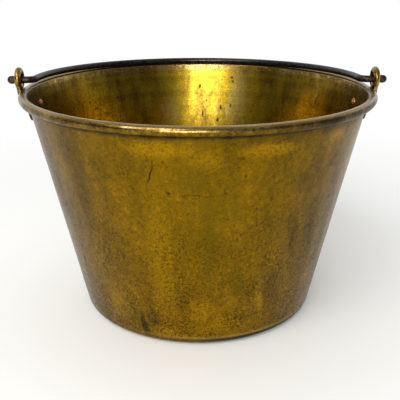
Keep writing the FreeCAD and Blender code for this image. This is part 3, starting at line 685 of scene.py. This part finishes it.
def bailPath():
    # From one rounded end through the eye, round the bend and half way round the ring, then mirrored
    size = bailSizes
    rod, stubStart = size["rod"], size["stubStart"]
    middle = size["apex"] - size["radius"]
    rise = size["bend"] - middle
    across = math.sqrt((size["radius"] + size["bend"]) ** 2 - rise ** 2)
    lift = math.atan2(rise, across)
    cap = stubStart + size["stubLength"] - size["stub"]
    dome = arcPoints((cap, 0), size["stub"], 0, math.pi / 2, size["domeSteps"])
    half = [(x, 0, max(r, size["tip"])) for x, r in dome]
    half += [(stubStart + size["flare"], 0, size["stub"]), (stubStart, 0, rod)]
    half += [(x, y, rod) for x, y in linePoints((stubStart, 0), (across, 0), size["pinSteps"])]
    bend = arcPoints((across, size["bend"]), size["bend"], -math.pi / 2, lift - math.pi, size["bendSteps"])
    ring = arcPoints((0, middle), size["radius"], lift, math.pi / 2, size["ringSteps"])
    half += [(x, y, rod) for x, y in bend + ring[1:]]
    whole = half + [(-x, y, r) for x, y, r in half[-2::-1]]
    tilt = Matrix.Translation((0, 0, size["hinge"] * mm)) @ Matrix.Rotation(-math.radians(size["tilt"]), 4, "X")
    return [tilt @ Vector((x * mm, y * mm, 0)) for x, y, r in whole], [r * mm for x, y, r in whole]


def makeBail(material):
    places, thickness = bailPath()
    piece = newPiece("ironBail", places, chainEdges(places), {"thickness": thickness})

    tree, sockets, given = makeTree("forgedRod", {"Sides": "Int", "Hammered": "Float"})
    line = addNode(tree, "GeometryNodeMeshToCurve", {"Mesh": given["Geometry"]}).outputs[0]
    place = addNode(tree, "GeometryNodeInputPosition").outputs[0]
    # Hammering leaves the rod a little thinner in places
    blows = addNode(tree, "ShaderNodeTexNoise", {
        "Vector": place, "Scale": bailSizes["blowsPerM"], "Detail": 1.0}).outputs["Fac"]
    uneven = addRange(tree, blows, (0, 1, -1, 0))
    uneven = addMath(tree, "MULTIPLY_ADD", uneven, given["Hammered"], 1.0)
    width = addMath(tree, "MULTIPLY", addNamed(tree, "thickness", "FLOAT"), uneven)
    circle = addNode(tree, "GeometryNodeCurvePrimitiveCircle", {
        "Resolution": given["Sides"], "Radius": 1.0}).outputs[0]
    rod = addNode(tree, "GeometryNodeCurveToMesh", {
        "Curve": line, "Profile Curve": circle, "Scale": width, "Fill Caps": True}).outputs[0]
    finishTree(tree, rod, given["Material"])
    settle(piece, tree, sockets, {
        "Sides": bailSizes["sides"], "Hammered": bailSizes["hammered"], "Material": material})
    return piece


iron = makeIron()
bail = makeBail(iron)
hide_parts("bail_handle")
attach(bail, "bail")
print("bail:", len(bail.data.polygons), "faces")

# The wire is shut inside the roll and keeps its plain form
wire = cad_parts["rim_wire"]
wire.data.materials.clear()
wire.data.materials.append(iron)

# Plain pale floor, just under the base; away from the bucket it runs out into plain white
floorLook = {"half": 4, "drop": 0.3, "fade": (160, 750, 0, 1),
             "surface": {"Base Color": linear("#F7F7F4"), "Roughness": 0.8}}
half, depth = floorLook["half"], -floorLook["drop"] * mm
corners = [(x * half, y * half, depth) for x, y in ((-1, -1), (1, -1), (1, 1), (-1, 1))]
floorMesh = bpy.data.meshes.new("floor")
floorMesh.from_pydata(corners, [], [(0, 1, 2, 3)])
floor = bpy.data.objects.new("floor", floorMesh)
scene.collection.objects.link(floor)
paint, tree, shader, place = newMaterial("paleMattFloor", floorLook["surface"])
path = addNode(tree, "ShaderNodeLightPath").outputs
seen = addMath(tree, "MAXIMUM", path["Is Camera Ray"], path["Is Glossy Ray"])
seen = addMath(tree, "MAXIMUM", seen, path["Is Transmission Ray"])
far = addBand(tree, addVector(tree, "LENGTH", place), floorLook["fade"], soft=True)
fade = addMath(tree, "MULTIPLY", far, seen)
white = addNode(tree, "ShaderNodeEmission").outputs[0]
blend = addNode(tree, "ShaderNodeMixShader", {0: fade, 1: shader.outputs[0], 2: white}).outputs[0]
tree.links.new(blend, tree.nodes["Material Output"].inputs["Surface"])
floorMesh.materials.append(paint)

# Soft light from the front and from above on the left
lamps = {
    "window": {"at": (-0.25, -1.9, 0.65), "aim": (0, 0.1, 0.15), "size": (0.9, 0.94), "power": 29},
    "key": {"at": (-0.9, -1.3, 1.8), "aim": (0, 0, 0.1), "size": (1.3, 1.3), "power": 24},
}
for name, lamp in lamps.items():
    light = bpy.data.lights.new(name, "AREA")
    light.shape = "RECTANGLE"
    light.size, light.size_y = lamp["size"]
    light.energy = lamp["power"]
    holder = bpy.data.objects.new(name, light)
    holder.location = lamp["at"]
    holder.rotation_euler = (Vector(lamp["aim"]) - Vector(lamp["at"])).to_track_quat("-Z", "Y").to_euler()
    scene.collection.objects.link(holder)

# The surroundings are white to the eye, but light the bucket mostly from behind and above
worldLook = {"back": (-0.5, 0.6, 0.14, 1), "top": (0.1, 0.9, 0, 0.5), "white": (1, 1, 1, 1)}
world = bpy.data.worlds.new("studio")
scene.world = world
world.use_nodes = True
tree = world.node_tree
background = tree.nodes["Background"]
ray = addNode(tree, "ShaderNodeTexCoord").outputs["Generated"]
parts = addNode(tree, "ShaderNodeSeparateXYZ", {0: ray}).outputs
back = addRange(tree, parts[1], worldLook["back"], soft=True)
top = addRange(tree, parts[2], worldLook["top"], soft=True)
level = addMath(tree, "MAXIMUM", back, top)
seen = addNode(tree, "ShaderNodeLightPath").outputs["Is Camera Ray"]
tree.links.new(mixLevels(tree, seen, level, 1.0), background.inputs["Strength"])
background.inputs["Color"].default_value = worldLook["white"]

# The camera was fitted to the outlines of the bucket
view = {"lens": 59.4, "sensor": 36, "at": (-0.0077, -0.5756, 0.2984), "down": 0.348, "turn": 0.95, "near": 0.01}
camera = bpy.data.objects.new("camera", bpy.data.cameras.new("camera"))
camera.data.lens = view["lens"]
camera.data.sensor_width = view["sensor"]
camera.data.clip_start = view["near"]
camera.location = view["at"]
camera.rotation_euler = (math.pi / 2 - view["down"], 0, -math.radians(view["turn"]))
scene.collection.objects.link(camera)
scene.camera = camera
scene.view_settings.view_transform = "Standard"
